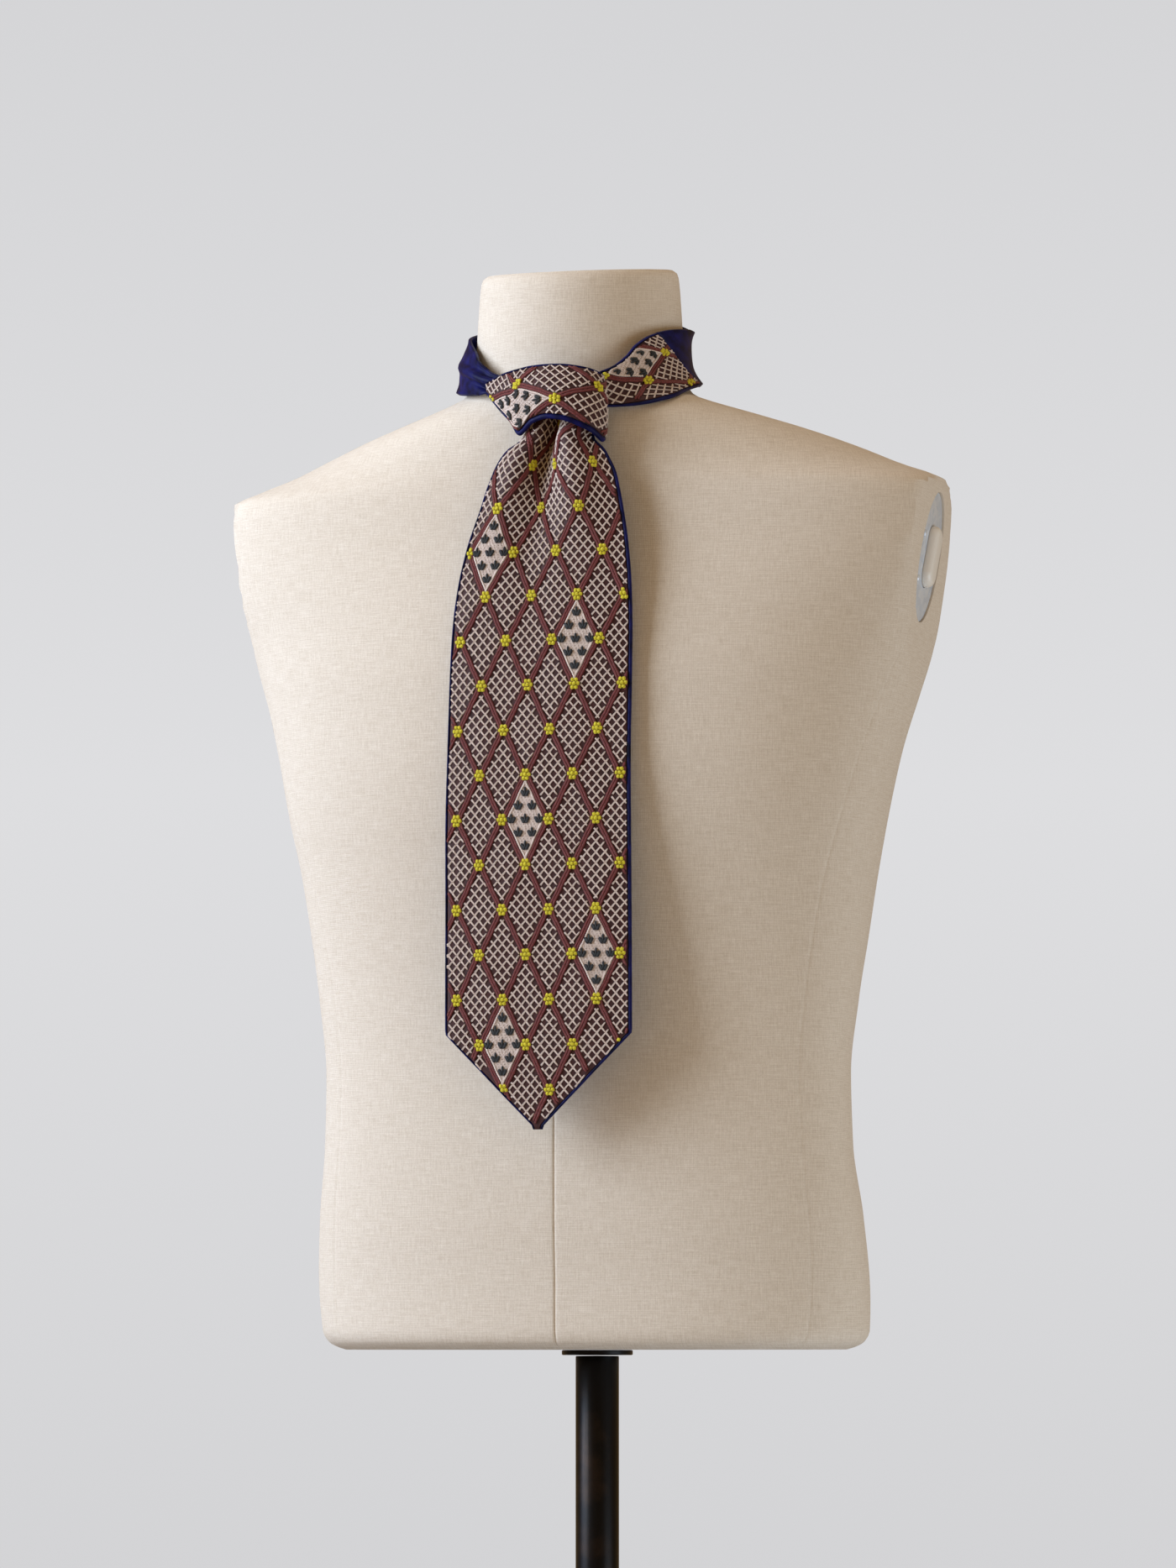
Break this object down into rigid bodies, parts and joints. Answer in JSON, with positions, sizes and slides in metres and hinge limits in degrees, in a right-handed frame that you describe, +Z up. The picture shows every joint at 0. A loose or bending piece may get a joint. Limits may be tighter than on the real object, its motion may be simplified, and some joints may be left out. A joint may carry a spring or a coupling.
{
  "type": "embroidered cravat on a dress form with a pole stand",
  "caption": "Embroidered cravat with a pointed blade and a plain satin band, knotted round the neck of a linen dress form on a pole and a round base.",
  "frame": {"origin": "middle of the base's underside, on the ground", "axes": "+Z up along the pole, -Y the way the form faces, +X the wearer's left"},
  "size_m": [0.4266, 0.3, 0.8505],
  "materials": {
    "linen": "matt plain-woven linen",
    "embroidery": "hand embroidery in maroon, cream and yellow thread",
    "navy_satin": "soft satin sheen",
    "bronzed_steel": "dark bronze lacquer",
    "zinc_plate": "zinc plated"
  },
  "bodies": {
    "root": {"blade_face": "embroidery", "blade_lining": "navy_satin", "knot_wrap_face": "embroidery", "knot_wrap_lining": "navy_satin", "knot_inner_layers": "embroidery", "neck_face": "embroidery", "neck_lining": "navy_satin", "neckband": "navy_satin", "tail": "navy_satin", "form_torso": "linen", "arm_plate_left": "zinc_plate", "arm_plate_right": "zinc_plate", "stand_flange": "bronzed_steel", "stand_pole": "bronzed_steel", "stand_base": "bronzed_steel"}
  },
  "joints": []
}
